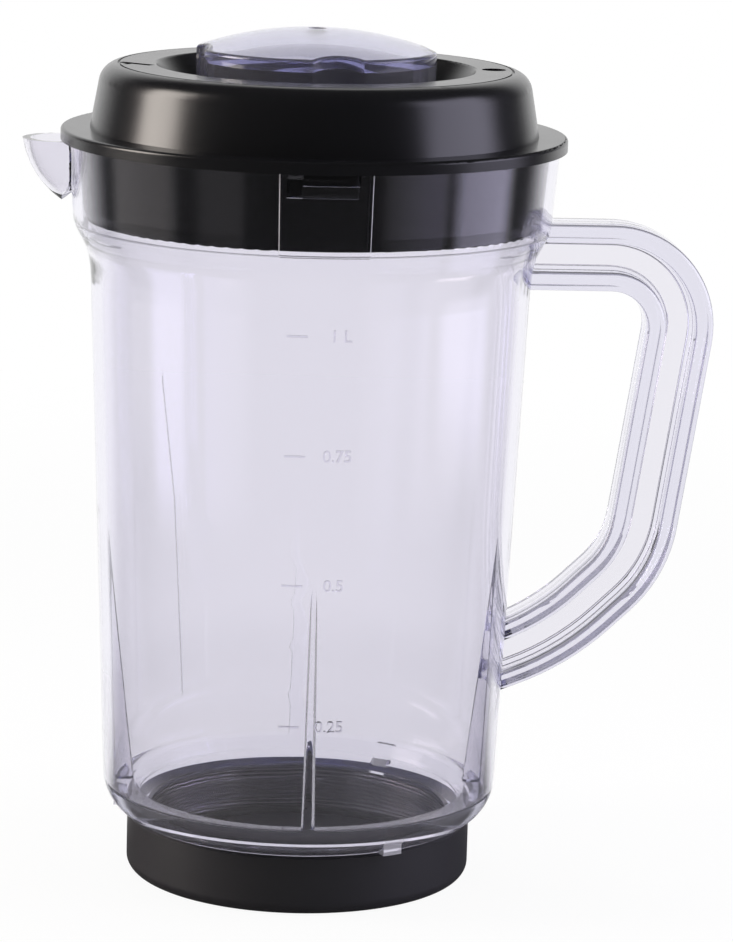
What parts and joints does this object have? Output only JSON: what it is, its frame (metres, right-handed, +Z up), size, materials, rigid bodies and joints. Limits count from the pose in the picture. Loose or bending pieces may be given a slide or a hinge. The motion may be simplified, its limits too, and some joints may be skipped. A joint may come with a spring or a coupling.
{
  "type": "blender jar",
  "caption": "Clear one-litre blender jug with spout, moulded handle and inner ribs, a black bayonet lid with a clear fluted filler cap, and a black screw cap closing its open bottom.",
  "frame": {"origin": "centre of the base cap's underside, on the plane it stands on", "axes": "+Z up along the jar's axis, +X towards the handle, -X towards the spout, -Y towards the graduated front"},
  "size_m": [0.1708, 0.124, 0.212],
  "materials": {
    "clear_jar": "clear, polished, with a faint lavender tint",
    "black_lid": "black, semi-gloss",
    "clear_filler": "clear, polished, bluish at its thick edges",
    "black_base": "black, satin",
    "seal": "soft, matte"
  },
  "bodies": {
    "base_cap": {"base_cap": "black_base"},
    "base_seal": {"base_seal": "seal"},
    "jar": {"jar": "clear_jar"},
    "lid": {"lid": "black_lid"},
    "filler_cap": {"filler_cap": "clear_filler"}
  },
  "joints": [
    {"name": "base_unscrew", "type": "hinge", "parent": "base_cap", "child": "base_seal", "pos_m": [0, 0, 0], "axis": [0, 0, 1], "range_deg": [0, 720]},
    {"name": "jar_rise", "type": "slide", "parent": "base_seal", "child": "jar", "axis": [0, 0, 1], "range_m": [0, 0.006]},
    {"name": "lid_turn", "type": "hinge", "parent": "jar", "child": "lid", "pos_m": [0, 0, 0.184], "axis": [0, 0, 1], "range_deg": [0, 12.5]},
    {"name": "filler_cap_turn", "type": "hinge", "parent": "lid", "child": "filler_cap", "pos_m": [0, 0, 0.1935], "axis": [0, 0, 1], "range_deg": [0, 60]}
  ],
  "couplings": [
    {"joint": "jar_rise", "follows": "base_unscrew", "m_per_rad": 0.00047746}
  ]
}
